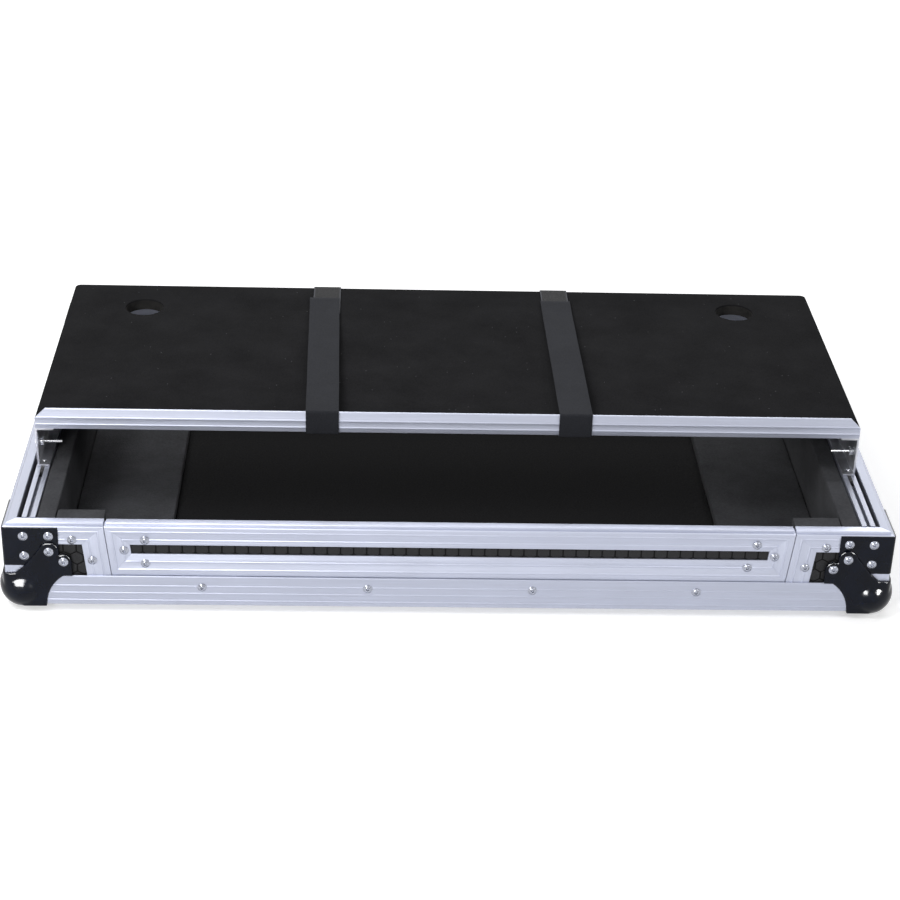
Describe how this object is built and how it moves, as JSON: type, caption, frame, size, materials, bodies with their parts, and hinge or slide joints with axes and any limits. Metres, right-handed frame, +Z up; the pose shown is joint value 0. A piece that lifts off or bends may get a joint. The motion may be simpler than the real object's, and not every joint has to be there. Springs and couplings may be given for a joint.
{
  "type": "dj controller flight case",
  "caption": "Open flight case tray with foam lining, ball corners, a lift-out front panel and a sliding laptop shelf on rails.",
  "frame": {"origin": "middle of the case in plan, on the surface that the ball corners stand on", "axes": "+X along the front to the right, +Y from the front to the rear, +Z up"},
  "size_m": [0.816, 0.496, 0.1539],
  "materials": {
    "laminated_plywood": "black textured laminate",
    "aluminium_extrusion": "satin",
    "aluminium_sheet": "polished",
    "black_steel": "gloss",
    "aluminium_rivet": "satin",
    "bare_plywood": "raw",
    "grey_foam": "matte",
    "black_mat": "matte",
    "black_plywood": "painted",
    "black_felt": "felt",
    "zinc_steel": "zinc plated",
    "black_nylon": "matte",
    "hook_tape": "hook tape",
    "black_webbing": "smooth webbing"
  },
  "bodies": {
    "tray": {"floor_panel": "laminated_plywood", "front_wall": "laminated_plywood", "rear_wall": "laminated_plywood", "left_side_wall": "laminated_plywood", "right_side_wall": "laminated_plywood", "left_rim": "aluminium_extrusion", "right_rim": "aluminium_extrusion", "rear_rim": "aluminium_extrusion", "front_left_rim": "aluminium_extrusion", "front_right_rim": "aluminium_extrusion", "front_bottom_angle": "aluminium_extrusion", "rear_bottom_angle": "aluminium_extrusion", "left_bottom_angle": "aluminium_extrusion", "right_bottom_angle": "aluminium_extrusion", "corner_posts": "aluminium_extrusion", "left_front_upright": "aluminium_extrusion", "right_front_upright": "aluminium_extrusion", "front_left_ball_corner": "black_steel", "front_right_ball_corner": "black_steel", "rear_left_ball_corner": "black_steel", "rear_right_ball_corner": "black_steel", "front_left_brace": "black_steel", "front_right_brace": "black_steel", "rear_left_brace": "black_steel", "rear_right_brace": "black_steel", "edge_rivets": "aluminium_rivet", "brace_rivets": "aluminium_rivet", "ball_corner_rivets": "aluminium_rivet", "left_rail_support": "bare_plywood", "right_rail_support": "bare_plywood", "left_glide_rail": "aluminium_extrusion", "right_glide_rail": "aluminium_extrusion", "left_foam": "grey_foam", "right_foam": "grey_foam", "rear_foam": "grey_foam", "front_left_foam": "grey_foam", "front_right_foam": "grey_foam", "floor_mat": "black_mat", "left_foam_block": "grey_foam", "right_foam_block": "grey_foam"},
    "front_panel": {"panel_board": "laminated_plywood", "panel_top_rail": "aluminium_extrusion", "panel_bottom_rail": "aluminium_extrusion", "panel_left_end": "aluminium_extrusion", "panel_right_end": "aluminium_extrusion", "panel_rivets": "aluminium_rivet"},
    "glide_shelf": {"shelf_board": "black_plywood", "shelf_felt": "black_felt", "shelf_trim": "aluminium_extrusion", "left_bracket": "aluminium_sheet", "right_bracket": "aluminium_sheet", "shelf_screws": "zinc_steel", "slider_shoes": "black_nylon", "stop_screws": "zinc_steel", "stop_nuts": "zinc_steel", "left_hook_tape": "hook_tape", "right_hook_tape": "hook_tape", "left_strap": "black_webbing", "right_strap": "black_webbing"}
  },
  "joints": [
    {"name": "shelf_glide", "type": "slide", "parent": "tray", "child": "glide_shelf", "axis": [0, 1, 0], "range_m": [-0.08, 0.08]},
    {"name": "panel_lift", "type": "slide", "parent": "tray", "child": "front_panel", "axis": [0, 0, 1], "range_m": [0, 0.12]}
  ]
}
